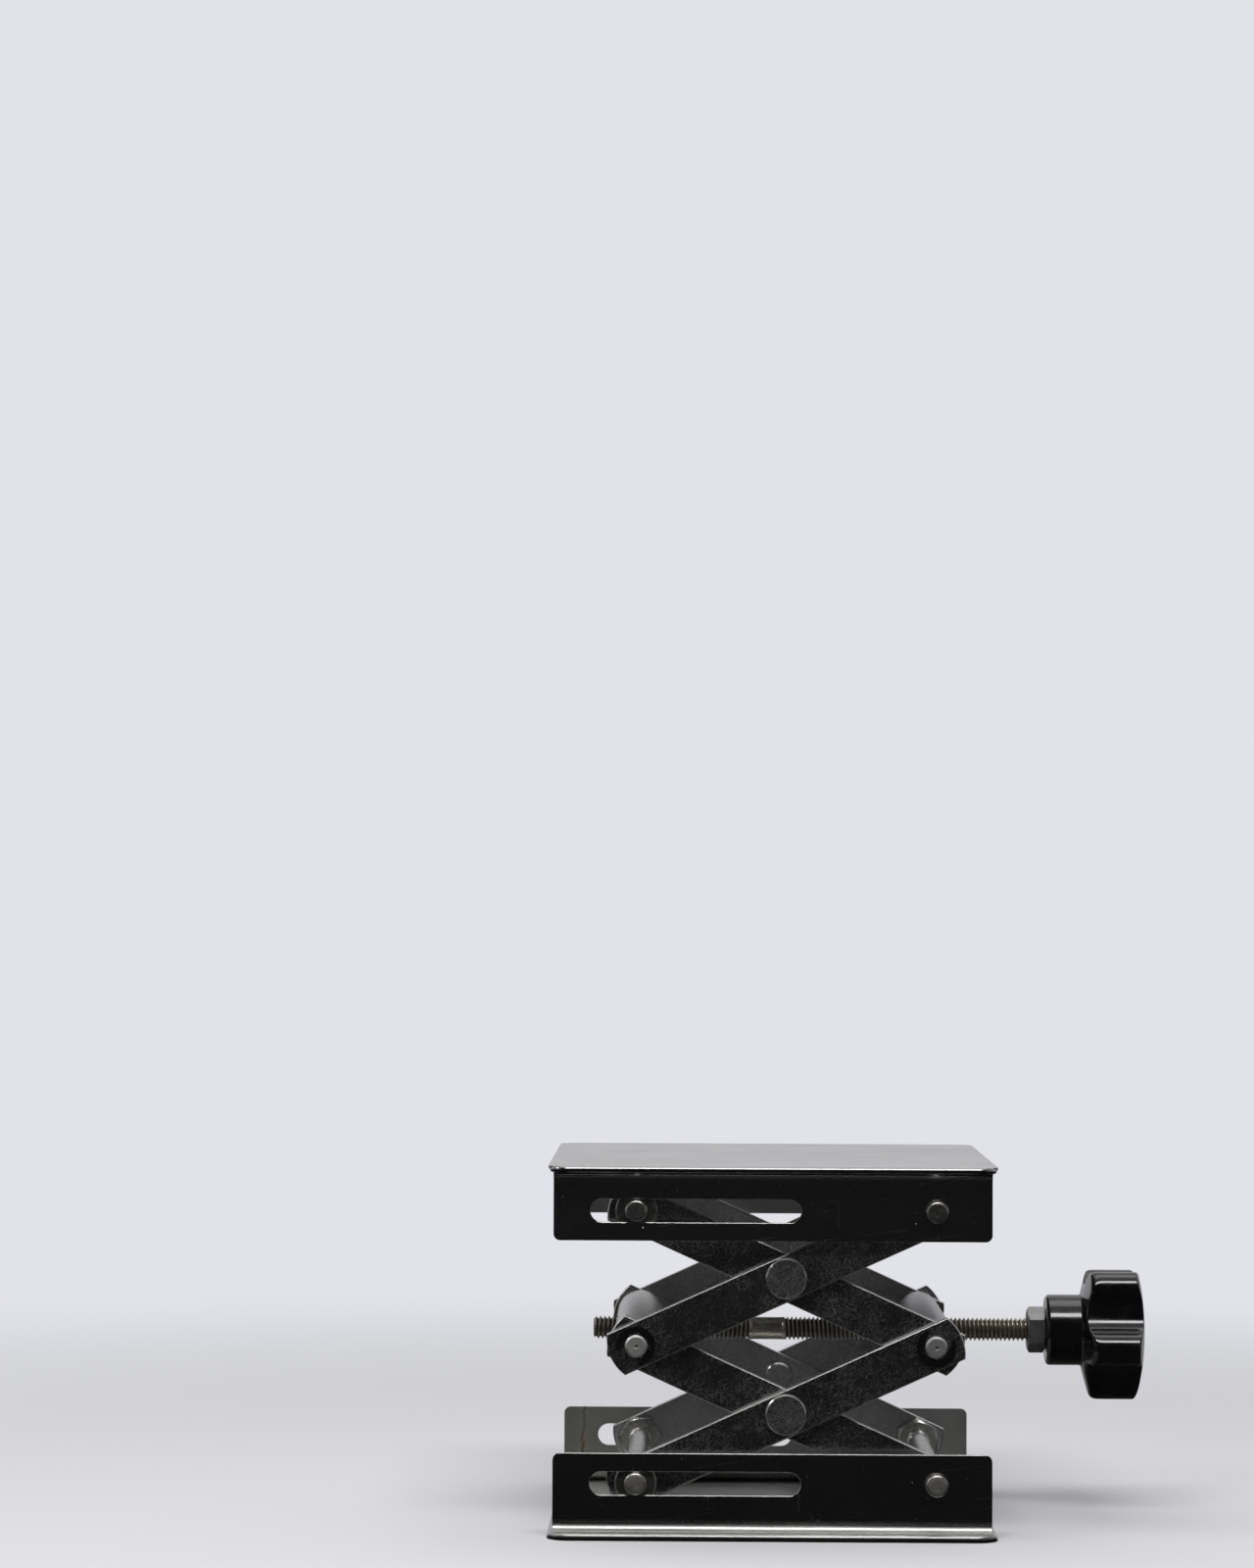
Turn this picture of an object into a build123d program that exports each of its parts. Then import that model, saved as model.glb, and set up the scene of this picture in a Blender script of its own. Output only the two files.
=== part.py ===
from build123d import *
import os
from math import cos, sin, radians, sqrt

# Laboratory scissor jack: a screw-driven lifting platform with two stages of crossed arms.
# Millimetres. +Z is up, the knob is on +X, the front is -Y. The origin is the centre of the
# base plate's underside.

# ---------------------------------------------------------------- driving dimensions
PLATE = 150.0            # both plates, square in plan
PLATE_CORNER = 7.0       # plan corner radius
SHEET = 1.0              # sheet thickness
SHEET_BREAK = 0.15       # chamfer on the edges of the flat sheet
HEM = 2.1                # folded edge, two layers
HEM_ROUND = 1.0          # rounding of the folded edge
HEM_DEPTH = 4.0          # fold edge to the start of the flange bend
LAP = 0.3                # the flat sheet runs this far into each hem
WING_LAP = 0.6           # the flange section runs this far into the hem
BEND = 3.0               # flange bend radius on the outer face
FLANGE_Y = 68.0          # outer face of both flanges
FLANGE_X = 73.2          # half length of the flanges
FLANGE_CORNER = 2.3      # free corners of the flanges
FLANGE_RIM = 0.22        # rounding of the outer rims of flange, slot and hole
CUT_START = 10.0         # flange cutters start this far outside the flange
CUT_DEPTH = 14.0
BASE_FLANGE_H = 28.0
TOP_FLANGE_H = 25.0
BASE_AXIS_Z = 18.0       # rod axis above the base plate's underside
TOP_AXIS_DROP = 15.0     # rod axis below the top plate's upper face
SLOT_W = 7.8
SLOT_X0 = -57.0          # slot end centres
SLOT_X1 = 5.6

ARM = 110.0              # pivot to pivot
ARM_ANGLE = 24.3         # degrees from horizontal, at rest
ARM_W = 15.0
ARM_T = 3.0
ARM_GAP = 0.5            # between the outer and inner arms
ARM_TAIL = 7.3           # end corner beyond the pivot
ARM_CROWN = 9.3          # crown of the curved end beyond the pivot
ARM_EDGE = 0.6           # rolled edge
OUTER_Y = 64.5           # outer face of the outer arms
INNER_Y = OUTER_Y - ARM_T - ARM_GAP          # outer face of the inner arms
PIVOT_X = 54.7           # fixed pivots, base and top

JOURNAL = 7.5            # turned ends of rods and cross bars
ROD = 8.0                # rod and screw diameter
RIVET_SHANK = 8.0
RUN = 0.05               # radial running clearance
SEAT = 0.02              # radial clearance of clamped pieces
FACE_GAP = 0.02          # between an arm and the washer or collar beside it
NUT_AF = 13.9            # across flats, all nuts
CUT_OVER = 1.0           # cutters run this far past the faces they cut

# ---------------------------------------------------------------- derived places
ARM_COS, ARM_SIN = cos(radians(ARM_ANGLE)), sin(radians(ARM_ANGLE))
SLIDE_X = PIVOT_X - ARM * ARM_COS            # slot rods and left cross bar
MID_X = PIVOT_X - ARM * ARM_COS / 2          # arm crossings
STAGE_H = ARM * ARM_SIN
BASE_ROD_Z = BASE_AXIS_Z
LOW_CROSS_Z = BASE_ROD_Z + STAGE_H / 2
BAR_Z = BASE_ROD_Z + STAGE_H                 # cross bars and screw
HIGH_CROSS_Z = BAR_Z + STAGE_H / 2
TOP_ROD_Z = BAR_Z + STAGE_H
TOP_Z = TOP_ROD_Z + TOP_AXIS_DROP            # upper face of the top plate

ROD_BORE_R = ROD / 2 + SEAT
RIVET_BORE_R = RIVET_SHANK / 2 + SEAT
RIVET_RUN_R = RIVET_SHANK / 2 + RUN
JOURNAL_BORE_R = JOURNAL / 2 + RUN

os.makedirs("parts", exist_ok=True)


# ---------------------------------------------------------------- helpers
def put(name, *shapes):
    """Writes the solids of the shapes as one piece."""
    solids = [solid for shape in shapes for solid in shape.solids()]
    piece = Compound(children=solids) if len(solids) > 1 else solids[0]
    export_step(piece, f"parts/{name}.step")


def pair(front):
    """The front piece and its mirror image at the rear."""
    return front, mirror(front, about=Plane.XZ)


def turned_y(x, z, points):
    """Solid of revolution about a line along Y; points are (radius, y)."""
    return Pos(x, 0, z) * revolve(make_face(Polyline(points, close=True)), Axis.Y)


def turned_x(points):
    """Solid of revolution about the screw axis; points are (x, radius)."""
    return Pos(0, 0, BAR_Z) * revolve(make_face(Polyline(points, close=True)), Axis.X)


def cylinder_y(x, z, radius, y0, y1):
    disc = Plane(origin=(x, y0, z), x_dir=(1, 0, 0), z_dir=(0, 1, 0)) * Circle(radius)
    return extrude(disc, amount=y1 - y0)


def plane_across_screw(x):
    """Plane facing +X on the screw axis; its local x is +Y, its local y is +Z."""
    return Plane(origin=(x, 0, BAR_Z), x_dir=(0, 1, 0), z_dir=(1, 0, 0))


def cylinder_x(radius, x0, x1):
    """Cylinder on the screw axis."""
    return extrude(plane_across_screw(x0) * Circle(radius), amount=x1 - x0)


def mirrored_profile(half):
    """Closes a (radius, y) profile with its mirror image at negative y."""
    return half + [(radius, -y) for radius, y in reversed(half)]


# ---------------------------------------------------------------- plates
def flange_section(height):
    """Flange outline: out of the hem, through the bend and up; points are (y, z)."""
    bend_y = -(PLATE / 2 - HEM_DEPTH)
    bend_z = HEM + BEND
    inner_y = -FLANGE_Y + SHEET
    hem_y = bend_y - WING_LAP

    def arc(start, radius, end):
        offset = radius * sqrt(0.5)
        return ThreePointArc(start, (bend_y + offset, bend_z - offset), end)

    return make_face(
        Line((hem_y, HEM - SHEET), (bend_y, HEM - SHEET))
        + arc((bend_y, HEM - SHEET), BEND + SHEET, (inner_y, bend_z))
        + Line((inner_y, bend_z), (inner_y, height))
        + Line((inner_y, height), (-FLANGE_Y, height))
        + Line((-FLANGE_Y, height), (-FLANGE_Y, bend_z))
        + arc((-FLANGE_Y, bend_z), BEND, (bend_y, HEM))
        + Line((bend_y, HEM), (hem_y, HEM))
        + Line((hem_y, HEM), (hem_y, HEM - SHEET))
    )


def front_flange(height, axis_h):
    section_plane = Plane(origin=(-FLANGE_X, 0, 0), x_dir=(0, 1, 0), z_dir=(1, 0, 0))
    wing = extrude(section_plane * flange_section(height), amount=2 * FLANGE_X)

    window = Plane(origin=(0, -FLANGE_Y - CUT_START, 0), x_dir=(1, 0, 0), z_dir=(0, -1, 0))
    blank = extrude(window * Pos(0, height / 2) * Rectangle(2 * FLANGE_X, height),
                    amount=-CUT_DEPTH)
    wing = wing & fillet(blank.edges().filter_by(Axis.Y).group_by(Axis.Z)[-1], FLANGE_CORNER)

    slot_shape = SlotCenterToCenter(SLOT_X1 - SLOT_X0, SLOT_W)
    slot = extrude(window * Pos((SLOT_X0 + SLOT_X1) / 2, axis_h) * slot_shape,
                   amount=-CUT_DEPTH)
    hole = cylinder_y(PIVOT_X, axis_h, JOURNAL_BORE_R,
                      -FLANGE_Y - CUT_OVER, -FLANGE_Y + SHEET + CUT_OVER)
    wing = wing - slot - hole

    # edges on the outer face, clear of the bend
    rim = [edge for edge in wing.edges()
           if edge.center().Z > HEM + BEND + 0.5
           and abs(edge.center().Y + FLANGE_Y) < 1e-3]
    return fillet(rim, FLANGE_RIM)


def lower_and_upper_edges(slab):
    groups = slab.edges().group_by(Axis.Z)
    return groups[0] + groups[-1]


def plate(height, axis_h):
    """One plate lying on its flat face, flanges up."""
    bend_y = PLATE / 2 - HEM_DEPTH
    slab = extrude(RectangleRounded(PLATE, PLATE, PLATE_CORNER), amount=HEM)
    slab = fillet(lower_and_upper_edges(slab), HEM_ROUND)
    hems = slab - extrude(Rectangle(PLATE + 10, 2 * bend_y), amount=HEM + CUT_OVER)
    sheet = extrude(RectangleRounded(PLATE, PLATE, PLATE_CORNER), amount=SHEET)
    sheet = chamfer(lower_and_upper_edges(sheet), SHEET_BREAK)
    sheet = sheet & extrude(Rectangle(PLATE + 10, 2 * (bend_y + LAP)), amount=SHEET)
    front, rear = pair(front_flange(height, axis_h))
    return sheet + hems + front + rear


put("base_plate", plate(BASE_FLANGE_H, BASE_AXIS_Z))
put("top_plate", Pos(0, 0, TOP_Z) * mirror(plate(TOP_FLANGE_H, TOP_AXIS_DROP), about=Plane.XY))


# ---------------------------------------------------------------- arms
def arm(x0, z0, lean, y_out, side, bores):
    """Flat arm rising from (x0, z0); lean is +1 towards +X, -1 towards -X; side is -1 at
    the front, +1 at the rear; bores are the radii at the start, middle and end."""
    dx, dz = lean * ARM_COS, ARM_SIN
    plane = Plane(origin=(x0, side * (y_out - ARM_T), z0), x_dir=(dx, 0, dz), z_dir=(0, side, 0))
    half = ARM_W / 2
    far_tail, far_crown = ARM + ARM_TAIL, ARM + ARM_CROWN
    outline = (
        Line((-ARM_TAIL, -half), (far_tail, -half))
        + ThreePointArc((far_tail, -half), (far_crown, 0), (far_tail, half))
        + Line((far_tail, half), (-ARM_TAIL, half))
        + ThreePointArc((-ARM_TAIL, half), (-ARM_CROWN, 0), (-ARM_TAIL, -half))
    )
    body = extrude(plane * make_face(outline), amount=ARM_T)
    # the edges that lie in the two flat faces
    face_edges = body.edges().filter_by(
        lambda edge: abs(edge.center().Y - edge.start_point().Y) < 1e-6)
    body = fillet(face_edges, ARM_EDGE)
    y0, y1 = sorted((side * (y_out - ARM_T), side * y_out))
    for along, radius in zip((0, ARM / 2, ARM), bores):
        body -= cylinder_y(x0 + along * dx, z0 + along * dz, radius, y0 - CUT_OVER, y1 + CUT_OVER)
    return body


# layer, start x, lean, outer face y, middle bore
ARM_LAYERS = (
    ("outer", SLIDE_X, 1, OUTER_Y, RIVET_BORE_R),
    ("inner", PIVOT_X, -1, INNER_Y, RIVET_RUN_R),
)
# stage, start z, start bore, end bore
ARM_STAGES = (
    ("lower", BASE_ROD_Z, ROD_BORE_R, JOURNAL_BORE_R),
    ("upper", BAR_Z, JOURNAL_BORE_R, ROD_BORE_R),
)
for stage, start_z, start_bore, end_bore in ARM_STAGES:
    for layer, start_x, lean, y_out, mid_bore in ARM_LAYERS:
        for side_name, side in (("front", -1), ("rear", 1)):
            put(f"{stage}_{side_name}_{layer}_arm",
                arm(start_x, start_z, lean, y_out, side, (start_bore, mid_bore, end_bore)))

# ---------------------------------------------------------------- rivets at the crossings
RIVET_HEAD = 13.7
RIVET_HEAD_T = 1.5
RIVET_TAIL = 10.3
RIVET_TAIL_T = 2.5
RIVET_TAIL_GAP = 0.03    # the tail starts this far outside the inner arm's inner face
MID_WASHER_OD = 12.8     # washers between outer and inner arms


def rivet(z):
    """Front rivet: flat head outside, peened tail inside."""
    head_r, shank_r, tail_r = RIVET_HEAD / 2, RIVET_SHANK / 2, RIVET_TAIL / 2
    y_head = -OUTER_Y
    y_outer = y_head - RIVET_HEAD_T
    y_tail = -(INNER_Y - ARM_T) + RIVET_TAIL_GAP
    y_inner = y_tail + RIVET_TAIL_T
    return turned_y(MID_X, z, [
        (0, y_outer), (head_r - 0.5, y_outer), (head_r, y_outer + 0.5),
        (head_r, y_head - 0.2), (head_r - 0.2, y_head), (shank_r, y_head),
        (shank_r, y_tail), (tail_r - 0.2, y_tail), (tail_r, y_tail + 0.2),
        (tail_r - 0.25, y_inner - 0.9), (tail_r - 0.85, y_inner), (0, y_inner),
    ])


def mid_washer(x, z, bore):
    """Front washer between the outer and inner arms."""
    radius = MID_WASHER_OD / 2
    y0, y1 = -OUTER_Y + ARM_T + FACE_GAP, -INNER_Y - FACE_GAP
    return turned_y(x, z, [(bore, y0), (radius, y0), (radius, y1), (bore, y1)])


for stage, z in (("lower", LOW_CROSS_Z), ("upper", HIGH_CROSS_Z)):
    front, rear = pair(rivet(z))
    put(f"{stage}_front_rivet", front)
    put(f"{stage}_rear_rivet", rear)
    put(f"{stage}_rivet_washers", *pair(mid_washer(MID_X, z, RIVET_BORE_R)))

# ---------------------------------------------------------------- cross bars and clips
BAR = 16.0                             # cross bar diameter
BAR_HALF = INNER_Y - ARM_T - 0.05      # shoulder, just clear of the inner arms
BAR_END = 66.6
BAR_SHOULDER_BREAK = 0.6
BAR_END_BREAK = 0.7
BAR_DIMPLE_R0, BAR_DIMPLE_R1 = 0.45, 0.9   # floor and mouth of the dimple in each end
CLIP_OD = 13.0
CLIP_ID = 9.5
CLIP_T = 1.0
CLIP_Y = OUTER_Y + 0.08                # inner face of the clip
CLIP_SEAT = 3.1                        # groove radius
CLIP_SIDE_GAP = 0.05                   # groove beyond each face of the clip
PRONG_R = 5.4                          # outer end of the prongs, inside the ring
PRONG_W = 2.6
MOUTH_W = 8.4
MOUTH_OVER = 3.0                       # the mouth cutter runs this far past the ring


def cross_bar(x):
    """Bar with turned, grooved ends, bored through for the screw."""
    bar_r, journal_r = BAR / 2, JOURNAL / 2
    groove_out = CLIP_Y + CLIP_T + CLIP_SIDE_GAP
    groove_in = CLIP_Y - CLIP_SIDE_GAP
    break_y = BAR_END - BAR_END_BREAK
    half = [
        (0, break_y), (BAR_DIMPLE_R0, break_y), (BAR_DIMPLE_R1, BAR_END),
        (journal_r - BAR_END_BREAK, BAR_END), (journal_r, break_y),
        (journal_r, groove_out), (CLIP_SEAT, groove_out),
        (CLIP_SEAT, groove_in), (journal_r, groove_in),
        (journal_r, BAR_HALF), (bar_r - BAR_SHOULDER_BREAK, BAR_HALF),
        (bar_r, BAR_HALF - BAR_SHOULDER_BREAK),
    ]
    bar = turned_y(x, BAR_Z, mirrored_profile(half))
    return bar - cylinder_x(ROD / 2 + RUN, x - BAR, x + BAR)


def clip(x, opening):
    """E-shaped retaining clip in the front groove; opening is its mouth's direction in
    degrees from +X towards +Z."""
    plane = Plane(origin=(x, -CLIP_Y, BAR_Z), x_dir=(1, 0, 0), z_dir=(0, -1, 0))
    radius = CLIP_OD / 2
    body = Circle(radius) - Circle(CLIP_ID / 2)
    for angle in (90, 180, 270):
        bar = Pos((CLIP_SEAT + PRONG_R) / 2, 0) * Rectangle(PRONG_R - CLIP_SEAT, PRONG_W)
        body += Rot(0, 0, angle) * bar - Circle(CLIP_SEAT + SEAT)
    body -= Pos((radius + MOUTH_OVER) / 2, 0) * Rectangle(radius + MOUTH_OVER, MOUTH_W)
    return extrude(plane * (Rot(0, 0, opening) * body), amount=CLIP_T)


for name, x, opening in (("left", SLIDE_X, 235), ("right", PIVOT_X, 70)):
    put(f"{name}_cross_bar", cross_bar(x))
    put(f"{name}_bar_clips", *pair(clip(x, opening)))
    put(f"{name}_bar_washers", *pair(mid_washer(x, BAR_Z, JOURNAL_BORE_R)))

# ---------------------------------------------------------------- rods, nuts and rings
ROD_CORE = 7.2           # plain middle of the rods
ROD_END_BREAK = 0.7
ROD_SHOULDER_BREAK = 0.3
ROD_SEAT_RUN = 5.2       # full diameter runs this far inside the nut's inner face
ROD_CORE_RUN = 6.0       # the plain middle starts this far inside it
NUT_T = 6.0
NUT_GAP = 0.04           # between nut and arm
RING_OD = 14.0           # washers and collars between arm and flange
RING_BREAK = 0.4
SHOULDER_Y = FLANGE_Y - SHEET - 0.1    # rod shoulders and rings, just inside the flanges

NUT_CORNER_R = NUT_AF / sqrt(3)
NUT_FACE_R = NUT_AF / 2 - 0.25         # bevel circle on the end faces
NUT_BEVEL = (NUT_CORNER_R - NUT_FACE_R) * 0.577    # 30 degree bevel


def nut_envelope(thickness):
    """Bevelled envelope of a hexagon nut as (distance along the axis, radius)."""
    radius = NUT_CORNER_R + 0.01
    return [(0, 0), (0, NUT_FACE_R), (NUT_BEVEL, radius),
            (thickness - NUT_BEVEL, radius), (thickness, NUT_FACE_R), (thickness, 0)]


def hexagon_bar(plane, thickness, turn):
    """Hexagonal prism on the plane; turn rotates its flats, in degrees."""
    hexagon = RegularPolygon(NUT_AF / 2, 6, major_radius=False, rotation=turn)
    return extrude(plane * hexagon, amount=thickness)


def rod_nut(x, z, y_in, turn):
    """Front nut with its inner face at -y_in."""
    plane = Plane(origin=(x, -y_in, z), x_dir=(1, 0, 0), z_dir=(0, -1, 0))
    envelope = turned_y(x, z, [(radius, -y_in - along) for along, radius in nut_envelope(NUT_T)])
    bore = cylinder_y(x, z, ROD_BORE_R, -y_in - NUT_T - CUT_OVER, -y_in + CUT_OVER)
    return (hexagon_bar(plane, NUT_T, turn) & envelope) - bore


def rod(x, z, nut_y, stand):
    """Cross rod: plain middle, full-diameter seats at the nuts, turned journals in the
    flanges. nut_y is the nut's inner face; stand is how far the ends stand out."""
    core_r, rod_r, journal_r = ROD_CORE / 2, ROD / 2, JOURNAL / 2
    end = FLANGE_Y + stand
    half = [
        (0, end), (journal_r - ROD_END_BREAK, end), (journal_r, end - ROD_END_BREAK),
        (journal_r, SHOULDER_Y), (rod_r - ROD_SHOULDER_BREAK, SHOULDER_Y),
        (rod_r, SHOULDER_Y - ROD_SHOULDER_BREAK),
        (rod_r, nut_y - ROD_SEAT_RUN), (core_r, nut_y - ROD_CORE_RUN),
    ]
    return turned_y(x, z, mirrored_profile(half))


def flange_ring(x, z, arm_y):
    """Front ring between the flange and an arm's outer face, outer corners broken."""
    radius, y0, y1 = RING_OD / 2, -SHOULDER_Y, -arm_y - FACE_GAP
    return turned_y(x, z, [
        (ROD_BORE_R, y0), (radius - RING_BREAK, y0), (radius, y0 + RING_BREAK),
        (radius, y1 - RING_BREAK), (radius - RING_BREAK, y1), (ROD_BORE_R, y1),
    ])


# name, x, z, outer face of the arm it clamps, stand, turn of the nuts, ring name
RODS = (
    ("base_slot", SLIDE_X, BASE_ROD_Z, OUTER_Y, 2.0, 0, "washers"),
    ("base_pivot", PIVOT_X, BASE_ROD_Z, INNER_Y, 3.4, 30, "collars"),
    ("top_slot", SLIDE_X, TOP_ROD_Z, INNER_Y, 2.2, 22, "collars"),
    ("top_pivot", PIVOT_X, TOP_ROD_Z, OUTER_Y, 3.0, 8, "washers"),
)
for name, x, z, arm_y, stand, turn, ring_name in RODS:
    nut_y = arm_y - ARM_T - NUT_GAP - NUT_T
    put(f"{name}_rod", rod(x, z, nut_y, stand))
    put(f"{name}_nuts", *pair(rod_nut(x, z, nut_y, turn)))
    put(f"{name}_{ring_name}", *pair(flange_ring(x, z, arm_y)))

# ---------------------------------------------------------------- screw and lock nut
SCREW_X0 = -61.1
SCREW_X1 = 119.0
SCREW_BREAK = 0.9
LOCK_NUT_X = 89.8
LOCK_NUT_T = 6.2


def chamfered_profile(x0, x1, bore_r, radius, size):
    """(x, radius) profile with both outer corners broken."""
    return [(x0, bore_r), (x0, radius - size), (x0 + size, radius),
            (x1 - size, radius), (x1, radius - size), (x1, bore_r)]


def lock_nut():
    nut = hexagon_bar(plane_across_screw(LOCK_NUT_X), LOCK_NUT_T, 30)
    nut &= turned_x([(LOCK_NUT_X + along, radius) for along, radius in nut_envelope(LOCK_NUT_T)])
    return nut - cylinder_x(ROD_BORE_R, LOCK_NUT_X - CUT_OVER, LOCK_NUT_X + LOCK_NUT_T + CUT_OVER)


put("lead_screw", turned_x(chamfered_profile(SCREW_X0, SCREW_X1, 0, ROD / 2, SCREW_BREAK)))
put("lock_nut", lock_nut())

# ---------------------------------------------------------------- knob
SHANK_X0 = LOCK_NUT_X + LOCK_NUT_T + 0.1
SHANK_R = 12.2
HEAD_X0 = 108.6
HEAD_X1 = 130.2
HEAD_OVER = 2.0          # the star runs this far past both ends before it is trimmed
LOBES = 5
LOBE_STEP = 360 / LOBES
LOBE_TURN = -92.5        # direction of the first lobe from +Y towards +Z, degrees
LOBE_C = 18.0            # radius of the circle of lobe centres
LOBE_R = 5.9
VALLEY_BOTTOM = 15.5     # distance of the valley floors from the axis
INSERT_R = 6.5
INSERT_BREAK = 0.4
INSERT_X0, INSERT_X1 = SHANK_X0 + 0.1, 119.5

# Valley arcs are tangent to both neighbouring lobes: the distance from lobe centre to
# valley centre is LOBE_R + VALLEY_R, with the valley centre at VALLEY_BOTTOM + VALLEY_R.
HALF_STEP_COS = cos(radians(LOBE_STEP / 2))
VALLEY_R = (
    (LOBE_C ** 2 + VALLEY_BOTTOM ** 2 - 2 * LOBE_C * VALLEY_BOTTOM * HALF_STEP_COS - LOBE_R ** 2)
    / (2 * LOBE_R - 2 * VALLEY_BOTTOM + 2 * LOBE_C * HALF_STEP_COS)
)

# (x, radius) stations that trim the star head
HEAD_ENVELOPE = [
    (HEAD_X0, 0), (HEAD_X0, SHANK_R + 0.3), (HEAD_X0 + 2.1, 20.6), (HEAD_X0 + 3.4, 23.2),
    (HEAD_X0 + 4.8, 24.2), (HEAD_X1 - 3.6, 24.2), (HEAD_X1 - 3.2, 23.6),
    (HEAD_X1 - 2.1, 20.2), (HEAD_X1 - 0.7, 13.2), (HEAD_X1, 6.0), (HEAD_X1, 0),
]
# (x, radius) stations of the shank, which runs 1.5 into the head
SHANK_PROFILE = [
    (SHANK_X0, 0), (SHANK_X0, SHANK_R - 1.4), (SHANK_X0 + 0.45, SHANK_R - 0.45),
    (SHANK_X0 + 1.4, SHANK_R), (HEAD_X0 + 1.5, SHANK_R), (HEAD_X0 + 1.5, 0),
]


def polar(radius, angle):
    return (radius * cos(radians(angle)), radius * sin(radians(angle)))


def tangent_point(lobe_angle, valley_angle):
    """Where a lobe arc meets a valley arc."""
    lobe_x, lobe_y = polar(LOBE_C, lobe_angle)
    valley_x, valley_y = polar(VALLEY_BOTTOM + VALLEY_R, valley_angle)
    dx, dy = valley_x - lobe_x, valley_y - lobe_y
    distance = sqrt(dx ** 2 + dy ** 2)
    return (lobe_x + dx / distance * LOBE_R, lobe_y + dy / distance * LOBE_R)


def star_outline():
    """Lobes joined by tangent valleys."""
    star = None
    for i in range(LOBES):
        angle = LOBE_TURN + i * LOBE_STEP
        before, after = angle - LOBE_STEP / 2, angle + LOBE_STEP / 2
        start, end = tangent_point(angle, before), tangent_point(angle, after)
        next_start = tangent_point(angle + LOBE_STEP, after)
        lobe = ThreePointArc(start, polar(LOBE_C + LOBE_R, angle), end)
        valley = ThreePointArc(end, polar(VALLEY_BOTTOM, after), next_start)
        star = lobe + valley if star is None else star + lobe + valley
    return star


def star_knob():
    head = extrude(plane_across_screw(HEAD_X0 - HEAD_OVER) * make_face(star_outline()),
                   amount=HEAD_X1 - HEAD_X0 + 2 * HEAD_OVER)
    head &= turned_x(HEAD_ENVELOPE)
    knob = head + turned_x(SHANK_PROFILE)
    return knob - cylinder_x(INSERT_R + SEAT, SHANK_X0 - CUT_OVER, INSERT_X1 + 0.1)


put("knob_insert",
    turned_x(chamfered_profile(INSERT_X0, INSERT_X1, ROD_BORE_R, INSERT_R, INSERT_BREAK)))
put("star_knob", star_knob())
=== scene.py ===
# A scissor jack: folded base and top plates, arms on four cross rods, a lead screw and a star knob.
# The base lies on the floor at z = 0. The lead screw runs along x with the knob's domed front
# towards +x, the rods run along y, and the camera looks from the front, at -y.
# Sizes in the pieces and materials are in millimetres; lights and camera are in metres.
from math import atan2, cos, pi, radians, sin, sqrt

import bpy
from mathutils import Matrix, Vector


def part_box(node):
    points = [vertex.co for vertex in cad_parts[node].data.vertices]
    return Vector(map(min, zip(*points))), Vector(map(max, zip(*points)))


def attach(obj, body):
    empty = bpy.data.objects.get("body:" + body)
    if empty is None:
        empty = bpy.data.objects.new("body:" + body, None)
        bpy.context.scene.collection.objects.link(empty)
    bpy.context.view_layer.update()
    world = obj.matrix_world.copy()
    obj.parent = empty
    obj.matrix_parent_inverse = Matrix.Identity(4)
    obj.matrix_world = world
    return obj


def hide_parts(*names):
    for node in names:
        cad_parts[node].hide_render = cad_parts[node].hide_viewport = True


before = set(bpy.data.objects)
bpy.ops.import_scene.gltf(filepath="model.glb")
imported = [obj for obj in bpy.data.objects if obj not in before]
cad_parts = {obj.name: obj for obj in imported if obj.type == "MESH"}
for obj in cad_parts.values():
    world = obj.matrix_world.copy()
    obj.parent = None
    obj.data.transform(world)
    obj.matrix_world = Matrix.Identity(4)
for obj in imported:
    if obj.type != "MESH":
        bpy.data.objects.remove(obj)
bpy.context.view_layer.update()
scene = bpy.context.scene
MM = 0.001


# =============================================================== node helpers
class Signal:
    """A node's output, which adds and multiplies like a number by making Math nodes."""

    def __init__(self, tree, socket):
        self.tree = tree
        self.socket = socket

    def __add__(self, other):
        return self.tree.math("ADD", self, other)

    def __radd__(self, other):
        return self.tree.math("ADD", other, self)

    def __sub__(self, number):
        return self.tree.math("ADD", self, -number)

    def __mul__(self, other):
        return self.tree.math("MULTIPLY", self, other)

    def __abs__(self):
        return self.tree.math("ABSOLUTE", self)

    def ramp(self, start, end, low=0.0, high=1.0):
        """Eases from low, where the signal is at start, to high, where it is at end."""
        node = self.tree.new("ShaderNodeMapRange", interpolation_type="SMOOTHSTEP", clamp=True)
        for socket, value in zip(node.inputs[:5], (self, start, end, low, high)):
            self.tree.put(socket, value)
        return Signal(self.tree, node.outputs[0])

    def tint(self, off, on, amount=None):
        """Colour off where the signal is 0, on where it is 1; amount scales the signal first."""
        factor = self if amount is None else self * amount
        node = self.tree.new("ShaderNodeMix", data_type="RGBA")
        for index, value in ((0, factor), (6, off), (7, on)):
            self.tree.put(node.inputs[index], value)
        return Signal(self.tree, node.outputs[2])

    def blend(self, off, on):
        """Number off where the signal is 0, on where it is 1."""
        node = self.tree.new("ShaderNodeMix", data_type="FLOAT")
        for index, value in ((0, self), (2, off), (3, on)):
            self.tree.put(node.inputs[index], value)
        return Signal(self.tree, node.outputs[0])


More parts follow.
